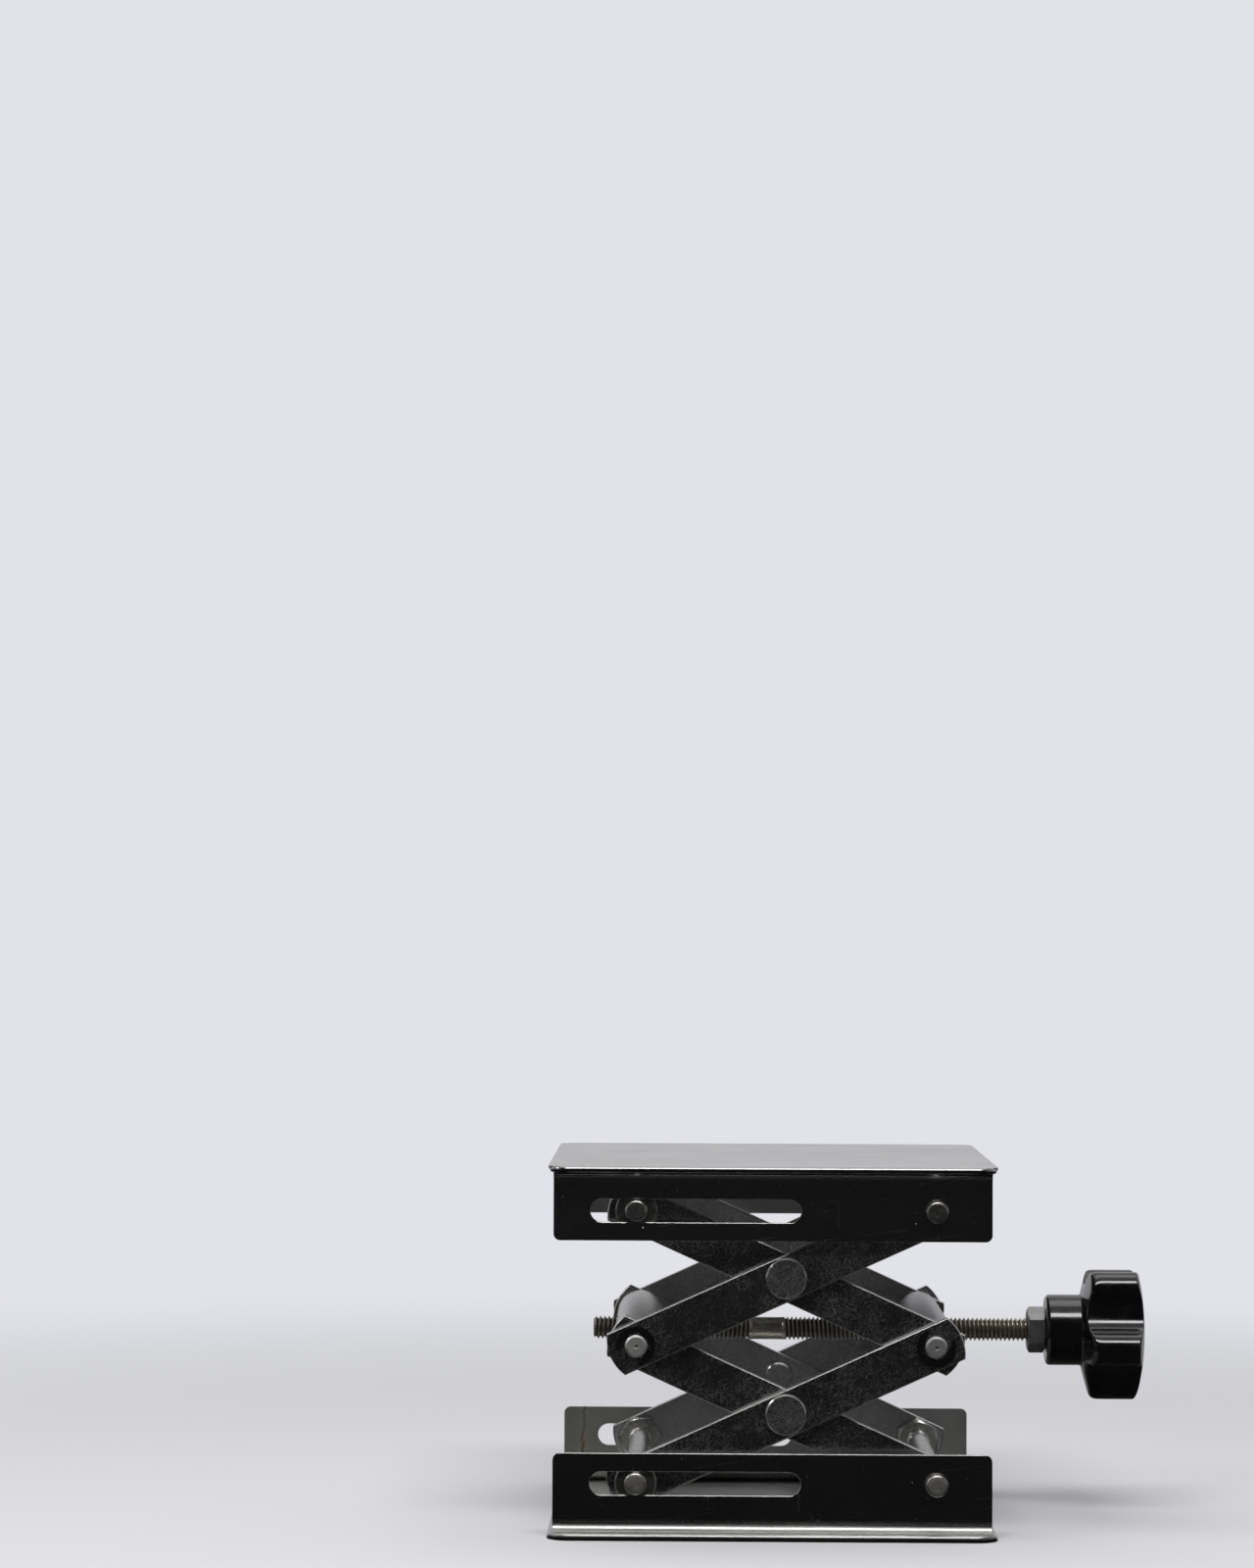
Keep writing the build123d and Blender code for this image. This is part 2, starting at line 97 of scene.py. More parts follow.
class Tree:
    """Short calls for building the nodes of a material or world."""

    def __init__(self, owner):
        owner.use_nodes = True
        self.owner = owner
        self.node_tree = owner.node_tree
        self.node_tree.nodes.clear()
        self.position = None

    def new(self, kind, **props):
        node = self.node_tree.nodes.new(kind)
        for key, value in props.items():
            setattr(node, key, value)
        return node

    def put(self, socket, value):
        if isinstance(value, Signal):
            self.node_tree.links.new(value.socket, socket)
        elif isinstance(value, tuple) and socket.type == "RGBA":
            socket.default_value = (*value, 1)
        else:
            socket.default_value = value

    def source(self, kind, output):
        return Signal(self, self.new(kind).outputs[output])

    def math(self, operation, a, b=0.0, clamp=False):
        node = self.new("ShaderNodeMath", operation=operation, use_clamp=clamp)
        for socket, value in zip(node.inputs, (a, b, 0.0)):
            self.put(socket, value)
        return Signal(self, node.outputs[0])

    def less(self, whole, loss):
        return self.math("SUBTRACT", whole, loss, clamp=True)

    def maximum(self, *values):
        result = values[0]
        for value in values[1:]:
            result = self.math("MAXIMUM", result, value)
        return result

    def radius(self, a, b):
        return self.math("SQRT", a * a + b * b)

    def mm(self):
        """Object position in millimetres."""
        if self.position is None:
            node = self.new("ShaderNodeVectorMath", operation="SCALE")
            self.put(node.inputs[0], self.source("ShaderNodeTexCoord", "Object"))
            self.put(node.inputs["Scale"], 1 / MM)
            self.position = Signal(self, node.outputs[0])
        return self.position

    def separate(self, signal, kind="XYZ"):
        node = self.new("ShaderNodeSeparate" + kind)
        self.put(node.inputs[0], signal)
        return [Signal(self, socket) for socket in node.outputs]

    def facing_y(self, output, start, end):
        """1 on surfaces whose normal lies along y."""
        normal = self.separate(self.source("ShaderNodeNewGeometry", output))
        return abs(normal[1]).ramp(start=start, end=end)

    def mapped(self, scale=1, loc=(0, 0, 0), rot=(0, 0, 0), source=None):
        node = self.new("ShaderNodeMapping")
        self.put(node.inputs["Vector"], source or self.mm())
        self.put(node.inputs["Location"], loc)
        self.put(node.inputs["Rotation"], rot)
        self.put(node.inputs["Scale"], scale if isinstance(scale, tuple) else (scale,) * 3)
        return Signal(self, node.outputs[0])

    def noise(self, scale, detail, rough=0.5, loc=(0, 0, 0), source=None):
        """Noise with this many features per mm, the same all ways or one value per axis."""
        node = self.new("ShaderNodeTexNoise")
        self.put(node.inputs["Vector"], self.mapped(scale, loc, source=source))
        self.put(node.inputs["Scale"], 1.0)
        self.put(node.inputs["Detail"], detail)
        self.put(node.inputs["Roughness"], rough)
        return Signal(self, node.outputs["Fac"])

    def specks(self, *rows):
        """Sparse dots. Rows: cell size, dot radius, share of cells with a dot, seed."""
        layers = []
        for size, radius, share, seed in rows:
            node = self.new("ShaderNodeTexVoronoi", feature="F1")
            place = self.mapped(1 / size, (seed, seed * 1.7, seed * 0.3))
            self.put(node.inputs["Vector"], place)
            self.put(node.inputs["Scale"], 1.0)
            dot = Signal(self, node.outputs["Distance"]).ramp(
                start=radius / size * 0.55, end=radius / size, low=1.0, high=0.0)
            cell = self.separate(Signal(self, node.outputs["Color"]), "Color")
            layers.append(dot * self.math("LESS_THAN", cell[0], share))
        return self.maximum(*layers)

    def scratches(self, *rows):
        """Thin lines: noise drawn out along them and cut between two levels.

        Rows: angle in degrees, length along, width across, start and end level, seed,
        and "XY" for lines that lie in that plane instead of XZ."""
        layers = []
        for angle, along, across, start, end, seed, *plane in rows:
            if plane:
                rot = (0, 0, radians(angle))
                scale = (1 / along, 1 / across, 1 / along)
            else:
                rot = (0, radians(angle), 0)
                scale = (1 / along, 1 / along, 1 / across)
            line = self.noise(scale, detail=1.0, rough=0.4, loc=(seed, seed * 0.7, seed * 1.3),
                              source=self.mapped(rot=rot))
            layers.append(line.ramp(start=start, end=end))
        return self.maximum(*layers)

    def shader(self, kind, **inputs):
        node = self.new("ShaderNode" + kind)
        for key, value in inputs.items():
            self.put(node.inputs[key.replace("_", " ")], value)
        return Signal(self, node.outputs[0])

    def mix_shader(self, factor, off, on):
        node = self.new("ShaderNodeMixShader")
        for socket, value in zip(node.inputs, (factor, off, on)):
            self.put(socket, value)
        return Signal(self, node.outputs[0])

    def output(self, surface, kind="Material"):
        self.put(self.new("ShaderNodeOutput" + kind).inputs["Surface"], surface)
        return self.owner

    def finish(self, colour, metal, rough, height, strength=0.35, depth=0.02, **extra):
        """Principled surface with its bump, depth in mm. Returns the material."""
        bump = self.shader("Bump", Strength=strength, Distance=depth * MM, Height=height)
        return self.output(self.shader(
            "BsdfPrincipled", Base_Color=colour, Metallic=metal, Roughness=rough, Normal=bump, **extra))


def new_tree(name):
    return Tree(bpy.data.materials.new(name))


# =============================================================== materials
def plate_steel():
    """Satin sheet with polished outer flange faces, brushed folds darkened with painted shade, and
    painted shade on the top plate's hems.
    """
    t = new_tree("plate_steel")
    x, y, z = t.separate(t.mm())
    off_centre = abs(y)
    cloud = t.noise(scale=0.035, detail=4.0, rough=0.55)
    smudge = t.noise(scale=0.06, detail=5.0, rough=0.65, loc=(31, 4, 9))
    grain = t.noise(scale=(0.05, 2.4, 2.4), detail=3.0, rough=0.6)
    streak = t.noise(scale=(0.014, 0.75, 0.75), detail=3.0, rough=0.6, loc=(5, 2, 7))
    grit = t.noise(scale=2.2, detail=3.0, rough=0.8, loc=(8, 8, 3))

    # where the outer flange faces, the folds and the top plate's hems are; the folds and the top hems
    # carry painted shade
    outer = (off_centre.ramp(start=67.55, end=67.75)
             * off_centre.ramp(start=68.25, end=68.05))
    shaded_fold = t.maximum(off_centre.ramp(start=68.3, end=69.0),
                     z.ramp(start=6.5, end=5.0) * off_centre.ramp(start=66.5, end=67.5))
    shaded_fold = shaded_fold * z.ramp(start=60, end=40)
    # the top plate's hems, which are given painted shade below
    top_hem_shade = off_centre.ramp(start=68.3, end=69.0) * z.ramp(start=40, end=60)

    # cell size, radius, share, seed
    dust = t.specks((6.5, 0.24, 0.34, 0.0))
    fine = t.specks((1.9, 0.13, 0.22, 13.0))
    big = t.specks((17.0, 0.36, 0.55, 27.0))
    speck = t.maximum(dust * 0.75, fine * 0.5, big)
    # angle, along, across, start, end, seed, plane
    hair = t.scratches(
        (8, 26, 0.26, 0.70, 0.78, 3.0),
        (-37, 14, 0.22, 0.72, 0.80, 11.0),
        (64, 30, 0.26, 0.735, 0.81, 23.0, "XY"),
        (12, 34, 0.26, 0.725, 0.80, 29.0, "XY"),
    )
    # a dried run on the rear flange's inner face, wavering about x = -66.2
    waver = t.noise(scale=(0.05, 0.05, 0.16), detail=2.0, loc=(3, 3, 3))
    off_run = abs((x + 66.2) + (waver - 0.5) * 5.0)
    run = ((off_run.ramp(start=0.25, end=0.9, low=1.0, high=0.0) * y.ramp(start=60, end=66))
           * (z.ramp(start=40, end=34) * z.ramp(start=8, end=12)))
    # a faint olive tint, low at the rear and growing to the left
    olive_tint = (z.ramp(start=60, end=30) * x.ramp(start=20, end=-60)) * y.ramp(start=20, end=60)

    satin_dark, satin_light = (0.56, 0.56, 0.555), (0.62, 0.62, 0.615)
    # the folds' tones: real brushed streaks, set darker than the sheet as painted shade
    brushed_shade_dark, brushed_shade_light = (0.22, 0.22, 0.215), (0.44, 0.44, 0.435)
    olive, hair_pale, dust_grey = (0.50, 0.52, 0.44), (0.75, 0.74, 0.72), (0.62, 0.61, 0.59)
    # the second colour on the next line is painted shade for the top plate's hems
    run_brown, hem_painted_shade = (0.10, 0.065, 0.035), (0.34, 0.34, 0.34)
    colour = cloud.ramp(start=0.3, end=0.7).tint(satin_dark, satin_light)
    colour = olive_tint.tint(colour, olive, amount=0.5)
    colour = hair.tint(colour, hair_pale, amount=0.35)
    colour = speck.tint(colour, dust_grey, amount=0.9)
    colour = run.tint(colour, run_brown, amount=0.85)
    brushed = (streak * 0.6 + grit * 0.4).ramp(start=0.38, end=0.62)
    # painted shade in the folds, laid over their real brushed streaks
    colour = shaded_fold.tint(colour, brushed.tint(brushed_shade_dark, brushed_shade_light), amount=0.9)
    # painted shade on the top plate's hems
    colour = top_hem_shade.tint(colour, hem_painted_shade)

    rough = smudge * 0.10 + (grain * 0.08 + 0.37)
    rough = outer.blend(rough, smudge * 0.05 + (grain * 0.03 + 0.125))
    rough = shaded_fold.blend(rough, streak * 0.22 + grit * 0.50)
    rough = top_hem_shade.blend(rough, streak * 0.14 + 0.06)
    rough = t.maximum(rough, t.maximum(run, speck) * 0.65, hair * outer * 0.3)
    metal = t.less(1.0, t.maximum(speck, run) * 0.85)
    height = grain * 0.4 + (streak * shaded_fold.blend(off=0.5, on=3.5) + hair * -0.5)
    return t.finish(colour, metal, rough, height)


def arm_steel():
    """Polished faces towards front and rear, pitted and scuffed in worn areas."""
    t = new_tree("arm_steel")
    cloud = t.noise(scale=0.05, detail=4.0, rough=0.6, loc=(7, 0, 2))
    pit = t.noise(scale=2.4, detail=3.0, rough=0.85)
    pits = pit.ramp(start=0.53, end=0.68)
    # cell size, radius, share, seed
    specks = t.specks((1.25, 0.16, 0.42, 5.0), (2.3, 0.17, 0.4, 17.0), (0.8, 0.15, 0.45, 41.0))
    worn = t.noise(scale=0.06, detail=4.0, rough=0.65, loc=(1, 8, 3)).ramp(start=0.40, end=0.60)
    # angle, along, across, start, end, seed
    lines = t.scratches(
        (52, 2.6, 0.12, 0.66, 0.76, 2.0),
        (-58, 3.2, 0.12, 0.67, 0.77, 9.0),
        (20, 6.0, 0.11, 0.69, 0.78, 15.0),
        (-24, 16.0, 0.14, 0.715, 0.79, 21.0),
        (84, 2.4, 0.12, 0.68, 0.78, 33.0),
        (-66, 24.0, 0.16, 0.73, 0.80, 47.0),
    )
    marks = t.maximum(specks * worn.blend(off=0.25, on=1.0),
                      lines * worn.blend(off=0.2, on=0.6),
                      pits * worn.blend(off=0.10, on=0.55))
    face = t.facing_y("Normal", start=0.80, end=0.97)
    marks = marks * face.blend(off=0.12, on=1.0)

    dark, light = (0.50, 0.50, 0.50), (0.57, 0.57, 0.565)
    colour = cloud.ramp(start=0.3, end=0.7).tint(dark, light)
    rough = marks.blend(off=face.blend(off=0.40, on=0.15 + cloud * 0.10), on=0.60)
    relief = pit * 0.7 + (lines * -0.7 + specks * -0.6)
    return t.finish(colour, t.less(1.0, marks * 0.25), rough, relief * face.blend(off=0.15, on=1.0))


def rivet_steel():
    t = new_tree("rivet_steel")
    pit = t.noise(scale=3.2, detail=3.0, rough=0.8, loc=(4, 4, 4))
    # angle, along, across, start, end, seed
    lines = t.scratches(
        (40, 5, 0.10, 0.66, 0.76, 4.0),
        (-35, 4, 0.10, 0.68, 0.78, 14.0),
        (75, 3, 0.10, 0.68, 0.78, 24.0),
        (-48, 18, 0.16, 0.69, 0.76, 37.0),
    )
    blotch = t.noise(scale=0.28, detail=4.0, rough=0.65, loc=(9, 1, 5))
    marks = t.maximum(lines * 0.8, pit.ramp(start=0.50, end=0.66) * 0.6)
    dark, light = (0.44, 0.44, 0.44), (0.55, 0.55, 0.55)
    colour = blotch.ramp(start=0.3, end=0.7).tint(dark, light)
    rough = marks.blend(off=0.22 + blotch * 0.08, on=0.58)
    return t.finish(colour, t.less(1.0, marks * 0.3), rough, pit * 0.8 + lines * -0.9, strength=0.5)


def turned_steel(name, light, dark, base_rough, stain=0.0, centre=None, faced=(0.36, 0.75)):
    """Steel turned about a y axis: fine rings, soft blotches, a few marks.

    centre is the axis's x and z, given where the ends are faced; faced is their roughness range."""
    t = new_tree(name)
    rings = t.noise(scale=(0.03, 3.2, 0.03), detail=3.0, rough=0.6)
    blotch = t.noise(scale=(0.16, 0.11, 0.16), detail=4.0, rough=0.6, loc=(2, 7, 1))
    pit = t.noise(scale=1.8, detail=2.0, rough=0.7, loc=(6, 6, 1))
    specks = t.specks((2.0, 0.3, 0.35, 3.0))  # cell size, radius, share, seed
    stain_brown, speck_grey = (0.24, 0.19, 0.13), (0.30, 0.29, 0.27)
    colour = blotch.ramp(start=0.32, end=0.68).tint(dark, light)
    if stain:
        spots = t.noise(scale=0.35, detail=4.0, rough=0.7, loc=(12, 3, 8))
        colour = spots.ramp(start=0.55, end=0.70).tint(colour, stain_brown, amount=stain)
    colour = specks.tint(colour, speck_grey, amount=0.4)
    rough = base_rough + blotch * 0.10 + rings * 0.08
    height = rings * 0.7 + pit * 0.25
    if centre:
        # faced ends: coarse turning rings round the axis, nicked and scuffed
        ring_pitch = 0.44
        x, y, z = t.separate(t.mm())
        radius = t.radius(x - centre[0], z - centre[1])
        face = t.facing_y("True Normal", start=0.96, end=0.985)
        scuff = t.noise(scale=3.4, detail=3.0, rough=0.8, loc=(2, 4, 6))
        groove = t.math("SINE", (radius + (scuff - 0.5) * 0.55) * (2 * pi / ring_pitch))
        groove = groove * 0.5 + 0.5
        faced_rough = (scuff * 0.84 + groove * 0.16).ramp(0.25, 0.8, *faced)
        rough = face.blend(rough, faced_rough)
        height = height + face * (scuff * 2.6 + groove * 0.5)
    return t.finish(colour, t.less(0.98, specks * 0.35), rough, height)


def nut_steel(name, dark, light, base_rough):
    t = new_tree(name)
    blotch = t.noise(scale=0.3, detail=4.0, rough=0.6, loc=(5, 9, 2))
    grain = t.noise(scale=(2.6, 0.5, 2.6), detail=3.0, rough=0.6, loc=(1, 1, 1))
    # scratch: angle, along, across, start, end, seed; specks: cell size, radius, share, seed
    marks = t.maximum(t.scratches((30, 6, 0.22, 0.66, 0.74, 6.0)),
                      t.specks((1.6, 0.26, 0.35, 8.0)))
    mark_grey = (0.30, 0.29, 0.27)
    colour = blotch.ramp(start=0.3, end=0.7).tint(dark, light)
    colour = marks.tint(colour, mark_grey, amount=0.5)
    rough = base_rough + blotch * 0.12 + grain * 0.06
    return t.finish(colour, t.less(0.97, marks * 0.3), rough, grain + marks * -0.6,
                    strength=0.4, depth=0.03)


def thread_steel(name, axis, centre, root_radius, crest_radius, crest, root, warm=0.0):
    """Thread with bright crests and dark oily roots, told apart by distance from its axis.

    centre is the axis's y (or x, for a y axis) and z; warm is how far the +x end is tinted."""
    t = new_tree(name)
    x, y, z = t.separate(t.mm())
    radius = t.radius((y if axis == "X" else x) - centre[0], z - centre[1])
    blotch = t.noise(scale=(0.14, 0.2, 0.2), detail=4.0, rough=0.6, loc=(3, 8, 4))
    wear = t.noise(scale=1.6, detail=3.0, rough=0.7)
    level = radius + (wear - 0.5) * 0.25
    raised = level.ramp(start=root_radius + 0.12, end=crest_radius - 0.12)
    crest_dark, copper = tuple(c * 0.78 for c in crest), (0.62, 0.50, 0.43)
    tone = blotch.ramp(start=0.35, end=0.65).tint(crest, crest_dark)
    if warm:
        tone = x.ramp(start=40, end=62).tint(tone, copper, amount=warm)
    rough = raised.blend(off=0.42, on=0.24) + blotch * 0.08
    return t.finish(raised.tint(root, tone), 0.55 + raised * 0.42, rough, wear, strength=0.3)


def clip_black():
    t = new_tree("clip_black")
    blotch = t.noise(scale=0.6, detail=4.0, rough=0.6)
    pit = t.noise(scale=2.5, detail=2.0, rough=0.6)
    dark, light = (0.0035, 0.0035, 0.0035), (0.0065, 0.006, 0.006)
    return t.finish(blotch.tint(dark, light), 0.0, 0.20 + blotch * 0.06, pit,
                    strength=0.10, depth=0.01, IOR=1.35)


def knob_black():
    """Glossy black with smudges, dust and hairline scratches."""
    t = new_tree("knob_black")
    peel = t.noise(scale=0.55, detail=3.0, rough=0.55)
    smudge = t.noise(scale=0.12, detail=5.0, rough=0.65, loc=(3, 5, 1))
    turning = t.noise(scale=(2.6, 0.08, 0.08), detail=2.0, rough=0.6)
    # cell size, radius, share, seed
    dust = t.specks((2.4, 0.17, 0.20, 2.0), (4.2, 0.22, 0.3, 19.0))
    # angle, along, across, start, end, seed
    hair = t.scratches((14, 12, 0.18, 0.715, 0.78, 7.0), (-66, 8, 0.18, 0.73, 0.79, 18.0))
    dark, light = (0.0025, 0.0025, 0.0028), (0.0055, 0.0054, 0.0054)
    dust_grey, hair_grey = (0.10, 0.10, 0.10), (0.05, 0.05, 0.05)
    colour = smudge.ramp(start=0.35, end=0.7).tint(dark, light)
    colour = dust.tint(colour, dust_grey, amount=0.5)
    colour = hair.tint(colour, hair_grey, amount=0.25)
    rough = smudge.ramp(start=0.35, end=0.75) * 0.10 + 0.13
    rough = t.maximum(rough, t.maximum(dust, hair * 0.6) * 0.5)
    height = peel + turning * 0.5 + hair * -0.2
    return t.finish(colour, 0.0, rough, height, strength=0.10, depth=0.03,
                    IOR=1.52, Coat_Weight=0.35, Coat_Roughness=0.06)


def insert_brass():
    t = new_tree("insert_brass")
    rings = t.noise(scale=(3.0, 0.1, 0.1), detail=3.0, rough=0.6)
    blotch = t.noise(scale=0.4, detail=3.0, rough=0.6)
    dark, light = (0.48, 0.34, 0.14), (0.62, 0.48, 0.24)
    colour = blotch.ramp(start=0.3, end=0.7).tint(dark, light)
    return t.finish(colour, 1.0, 0.25 + rings * 0.12, rings, strength=0.3)


PLATE = plate_steel()
ARM = arm_steel()
RIVET = rivet_steel()
RING = turned_steel("ring_steel", light=(0.42, 0.415, 0.40), dark=(0.32, 0.315, 0.30),
                    base_rough=0.20, stain=0.35)
NUT = nut_steel("nut_steel", dark=(0.46, 0.455, 0.44), light=(0.60, 0.595, 0.58), base_rough=0.19)
# the lock nut is the nut steel made darker and rougher: its darker tone is painted shade that tames the
# front strip light's glare
SHADED_LOCK_NUT = nut_steel("lock_nut_shaded_steel", dark=(0.26, 0.26, 0.26), light=(0.35, 0.35, 0.35),
                     base_rough=0.40)
CLIP = clip_black()
KNOB = knob_black()
BRASS = insert_brass()


# =============================================================== mesh helpers
def box_mm(name):
    """Low and high corners of a CAD piece's box, in mm."""
    lo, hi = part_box(name)
    return Vector3(*(v / MM for v in lo)), Vector3(*(v / MM for v in hi))


class Vector3:
    """Three plain floats, at full precision."""

    def __init__(self, x, y, z):
        self.x, self.y, self.z = x, y, z


def mesh_object(name, verts, faces, mat, body, sharp_degrees=30):
    mesh = bpy.data.meshes.new(name)
    mesh.from_pydata(verts, [], faces)
    mesh.update()
    mesh.materials.append(mat)
    ob = bpy.data.objects.new(name, mesh)
    scene.collection.objects.link(ob)
    mesh.shade_smooth()
    mesh.set_sharp_from_angle(angle=radians(sharp_degrees))
    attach(ob, body)
    return ob


def revolve(profile, segments, place):
    """Solid of revolution from rows of (distance along, radius or function of angle -> radius).

    A zero radius closes the end in a point. place turns (along, a, b) into a position."""
    verts, faces, rows = [], [], []
    for along, radius in profile:
        if not callable(radius) and radius < 1e-9:
            rows.append([len(verts)])
            verts.append(place(along, 0, 0))
            continue
        row = []
        for i in range(segments):
            angle = 2 * pi * i / segments
            r = radius(angle) if callable(radius) else radius
            row.append(len(verts))
            verts.append(place(along, r * cos(angle), r * sin(angle)))
        rows.append(row)
    for p, q in zip(rows, rows[1:]):
        for i in range(segments):
            j = (i + 1) % segments
            if len(p) == 1:
                faces.append((p[0], q[j], q[i]))
            elif len(q) == 1:
                faces.append((p[i], p[j], q[0]))
            else:
                faces.append((p[i], p[j], q[j], q[i]))
    return verts, faces


def thread_radius(phase, major, minor):
    """Radius at a phase of the thread: flat crest, straight flank, flat root, straight flank."""
    crest, root = 0.14, 0.22  # shares of the pitch
    flank = (1 - crest - root) / 2
    p = phase % 1.0
    if p < crest:
        return major
    if p < crest + flank:
        return major + (minor - major) * (p - crest) / flank
    if p < crest + flank + root:
        return minor
    return minor + (major - minor) * (p - crest - flank - root) / flank


def helix(along, pitch, hand, major, minor):
    return lambda angle: thread_radius(along / pitch - hand * angle / (2 * pi), major, minor)


ROWS_PER_PITCH = 12


def threaded(start, end, pitch, hand, major, minor, fade_in, fade_out):
    """Profile rows of a thread that runs out to its major radius at both ends."""
    count = max(2, int(round((end - start) / (pitch / ROWS_PER_PITCH))))
    rows = []
    for i in range(count + 1):
        s = start + (end - start) * i / count
        depth = min(1.0, max(0.0, (s - start) / fade_in), max(0.0, (end - s) / fade_out))
        full = helix(s, pitch, hand, major, minor)
        rows.append((s, lambda angle, full=full, depth=depth: major + (full(angle) - major) * depth))
    return rows


# =============================================================== lead screw
screw_lo, screw_hi = box_mm("lead_screw")
screw_z = (screw_lo.z + screw_hi.z) / 2
SCREW_PITCH = 1.5
PLAIN_X = (-6.2, 4.8)  # plain middle between the two opposite-handed threads


def on_screw(x, a, b):
    return x * MM, a * MM, (screw_z + b) * MM


def lead_screw():
    x0, x1 = screw_lo.x, screw_hi.x
    radius = (screw_hi.z - screw_lo.z) / 2
    major, minor, waist = radius - 0.02, radius - 0.92, radius - 0.16
    plain0, plain1 = PLAIN_X
    profile = [(x0, 0.0), (x0, radius - 1.25), (x0 + 0.02, radius - 1.2)]
    # the first crests are chamfered down towards the screw's end
    for i in range(7):
        x = x0 + 0.05 + SCREW_PITCH / ROWS_PER_PITCH * i
        full = helix(x, SCREW_PITCH, -1, major, minor)
        limit = radius - 1.0 + (x - x0) * 0.9
        profile.append((x, lambda angle, full=full, limit=limit: min(full(angle), limit)))
    profile += threaded(x0 + 0.9, plain0, SCREW_PITCH, -1, major, minor,
                        fade_in=0.01, fade_out=1.3)[1:]
    profile += [(plain0 + 0.25, radius - 0.18), (plain0 + 0.4, waist),
                (plain1 - 0.4, waist), (plain1 - 0.25, radius - 0.18)]
    profile += threaded(plain1, x1 - 1.0, SCREW_PITCH, 1, major, minor, fade_in=1.3, fade_out=0.4)
    profile += [(x1 - 0.9, major), (x1, radius - 0.9), (x1, 0.0)]
    verts, faces = revolve(profile, 44, on_screw)
    steel = thread_steel("screw_steel", "X", (0.0, screw_z), minor, radius,
                         crest=(0.68, 0.655, 0.58), root=(0.095, 0.08, 0.055), warm=0.55)
    screw = mesh_object("lead_screw_threaded", verts, faces, steel, "screw")
    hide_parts("lead_screw")


# =============================================================== cross rods
# rod: the body it rides on
RODS = {
    "base_slot_rod": "lower_outer",
    "base_pivot_rod": "lower_inner",
    "top_slot_rod": "upper_inner",
    "top_pivot_rod": "upper_outer",
}
ROD_RADIUS, ROD_END_RADIUS, ROD_CORE_RADIUS = 4.0, 3.75, 3.6
ROD_THREAD_DEPTH = 0.70
ROD_SHOULDER_Y = 66.9
NUT_WIDTH = 6.0


def cross_rod(index, rod, body):
    """A rod with a plain core, a thread at each nut and a slimmer rounded tip beyond."""
    lo, hi = box_mm(rod)
    cx, cz = (lo.x + hi.x) / 2, (lo.z + hi.z) / 2
    end = hi.y
    nut_inner = box_mm(rod.replace("rod", "nuts"))[1].y - NUT_WIDTH
    root_radius = ROD_RADIUS - ROD_THREAD_DEPTH
    thread0, thread1 = nut_inner - 7.0, ROD_SHOULDER_Y - 0.6

    plus = [(nut_inner - 7.6, ROD_CORE_RADIUS), (nut_inner - 7.3, ROD_CORE_RADIUS + 0.05)]
    plus += threaded(thread0, thread1, 1.25, 1, ROD_RADIUS - 0.02, root_radius,
                     fade_in=1.0, fade_out=0.8)
    plus += [(ROD_SHOULDER_Y - 0.3, ROD_RADIUS), (ROD_SHOULDER_Y, ROD_RADIUS - 0.3),
             (ROD_SHOULDER_Y, ROD_END_RADIUS), (end - 0.7, ROD_END_RADIUS),
             (end - 0.45, ROD_END_RADIUS - 0.13), (end - 0.15, ROD_END_RADIUS - 0.42),
             (end, ROD_END_RADIUS - 0.8), (end - 0.05, ROD_END_RADIUS * 0.45), (end, 0.0)]

    def flip(radius):
        return (lambda angle: radius(-angle)) if callable(radius) else radius

    minus = [(-y, flip(radius)) for y, radius in reversed(plus)]
    verts, faces = revolve(minus + plus, 36,
                           lambda y, a, b: ((cx + a) * MM, y * MM, (cz + b) * MM))
    faces = [face[::-1] for face in faces]

    thread = thread_steel(f"rod_thread_{index}", "Y", (cx, cz), root_radius, ROD_RADIUS,
                          crest=(0.60, 0.59, 0.56), root=(0.16, 0.14, 0.11))
    plain = turned_steel(f"rod_steel_{index}", light=(0.52, 0.515, 0.50),
                         dark=(0.38, 0.37, 0.345), base_rough=0.24, stain=0.55, centre=(cx, cz),
                         faced=(0.14, 0.42) if rod.startswith("top") else (0.36, 0.75))
    ob = mesh_object(rod + "_threaded", verts, faces, plain, body)
    ob.data.materials.append(thread)
    for polygon in ob.data.polygons:
        if thread0 + 0.3 < abs(polygon.center.y) / MM < thread1 - 0.3:
            polygon.material_index = 1
    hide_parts(rod)


# =============================================================== star knob
LOBES = 5
LOBE_CENTRE, LOBE_RADIUS = 18.0, 5.9
VALLEY = 15.5                       # distance from the axis to a valley's floor
LOBE_TURN = radians(92.5)           # one lobe points nearly straight down
BORE_RADIUS, BORE_DEPTH = 6.52, 8.0
NECK_RADIUS, NECK_LENGTH, NECK_EDGE = 12.2, 12.5, 1.5
INNER_CORNER = 0.9                  # fillet between neck and head
RIM_RADIUS, DOME_DEPTH = 26.2, 4.7

